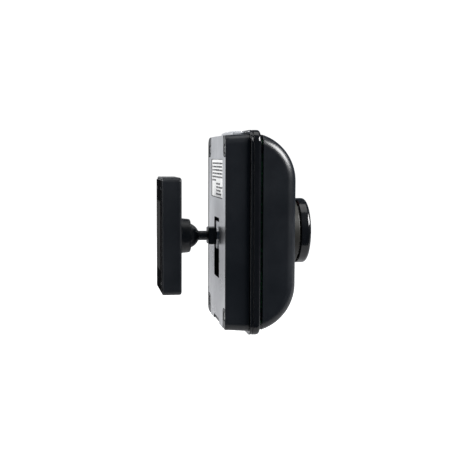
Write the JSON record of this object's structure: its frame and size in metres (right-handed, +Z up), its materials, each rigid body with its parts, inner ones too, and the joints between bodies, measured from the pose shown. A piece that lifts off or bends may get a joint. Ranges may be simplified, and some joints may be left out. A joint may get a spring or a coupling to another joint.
{
  "type": "radar detector",
  "caption": "In-vehicle radar detector: upright domed case with a front dial and top keys, slid onto a hook on an adhesive ball mount.",
  "frame": {"origin": "centre of the adhesive pad's outer face", "axes": "+Z up, +Y out of the adhesive face, away from the detector, +X across; the detector's front and its dial face -Y"},
  "size_m": [0.0724, 0.0838, 0.1104],
  "materials": {
    "black_case": "satin",
    "black_gloss": "gloss",
    "silver_plate": "satin",
    "screw_steel": "satin",
    "cast_metal": "matte",
    "rubber": "matte",
    "circuit_board": "satin",
    "label_paper": "matte",
    "smoked_window": "gloss",
    "clear_plastic": "gloss"
  },
  "bodies": {
    "mount_base": {"base_housing": "black_case", "base_back": "black_gloss", "adhesive_pad": "rubber", "base_screw_1": "screw_steel", "base_screw_2": "screw_steel", "base_screw_3": "screw_steel", "base_screw_4": "screw_steel"},
    "clamp_collar": {"clamp_collar": "black_case"},
    "pressure_cup": {"pressure_cup": "cast_metal"},
    "friction_pad": {"friction_pad": "rubber"},
    "ball_arm": {"ball_stem": "black_gloss", "hook_block": "black_case", "hook_head": "screw_steel", "hook_screw": "screw_steel"},
    "detector": {"rear_shell": "black_case", "back_plate": "silver_plate", "rating_label": "label_paper", "hook_keeper": "screw_steel", "trim_band": "black_gloss", "front_cover": "black_case", "dial_collar": "black_case", "encoder_body": "cast_metal", "key_bezel": "silver_plate", "key_board": "circuit_board", "main_board": "circuit_board", "antenna_horn": "cast_metal", "mixer_can": "screw_steel", "backup_cell": "screw_steel", "speaker": "black_case", "alert_window": "smoked_window", "light_pipe": "clear_plastic", "power_socket": "screw_steel", "power_board": "circuit_board", "rear_screw_1": "screw_steel", "rear_screw_2": "screw_steel", "rear_screw_3": "screw_steel", "rear_screw_4": "screw_steel", "key_switch_1": "rubber", "key_switch_2": "rubber", "key_switch_3": "rubber"},
    "dial_plunger": {"encoder_shaft": "screw_steel"},
    "dial": {"dial_ring": "black_gloss", "dial_cap": "smoked_window"},
    "key_1": {"key_1": "silver_plate"},
    "key_2": {"key_2": "silver_plate"},
    "key_3": {"key_3": "silver_plate"}
  },
  "joints": [
    {"name": "collar_turn", "type": "hinge", "parent": "mount_base", "child": "clamp_collar", "pos_m": [0, -0.0157, -0.0008], "axis": [0, -1, 0], "range_deg": [0, 90]},
    {"name": "mount_pan", "type": "hinge", "parent": "mount_base", "child": "pressure_cup", "pos_m": [0, -0.0157, -0.0008], "axis": [0, 0, 1], "range_deg": [-25, 25]},
    {"name": "mount_tilt", "type": "hinge", "parent": "pressure_cup", "child": "friction_pad", "pos_m": [0, -0.0157, -0.0008], "axis": [1, 0, 0], "range_deg": [-20, 20]},
    {"name": "mount_roll", "type": "hinge", "parent": "friction_pad", "child": "ball_arm", "pos_m": [0, -0.0157, -0.0008], "axis": [0, -1, 0], "continuous": true},
    {"name": "hook_slide", "type": "slide", "parent": "ball_arm", "child": "detector", "axis": [0, 0, 1], "range_m": [0, 0.0155]},
    {"name": "dial_push", "type": "slide", "parent": "detector", "child": "dial_plunger", "axis": [0, 1, 0], "range_m": [0, 0.0006], "stiffness_N_per_m": 400, "springref_m": -0.0005},
    {"name": "dial_turn", "type": "hinge", "parent": "dial_plunger", "child": "dial", "pos_m": [0, -0.0775, 0.0017], "axis": [0, -1, 0], "continuous": true},
    {"name": "key_1_press", "type": "slide", "parent": "detector", "child": "key_1", "axis": [0, 0, -1], "range_m": [0, 0.0006], "stiffness_N_per_m": 300, "springref_m": -0.0005},
    {"name": "key_2_press", "type": "slide", "parent": "detector", "child": "key_2", "axis": [0, 0, -1], "range_m": [0, 0.0006], "stiffness_N_per_m": 300, "springref_m": -0.0005},
    {"name": "key_3_press", "type": "slide", "parent": "detector", "child": "key_3", "axis": [0, 0, -1], "range_m": [0, 0.0006], "stiffness_N_per_m": 300, "springref_m": -0.0005}
  ]
}
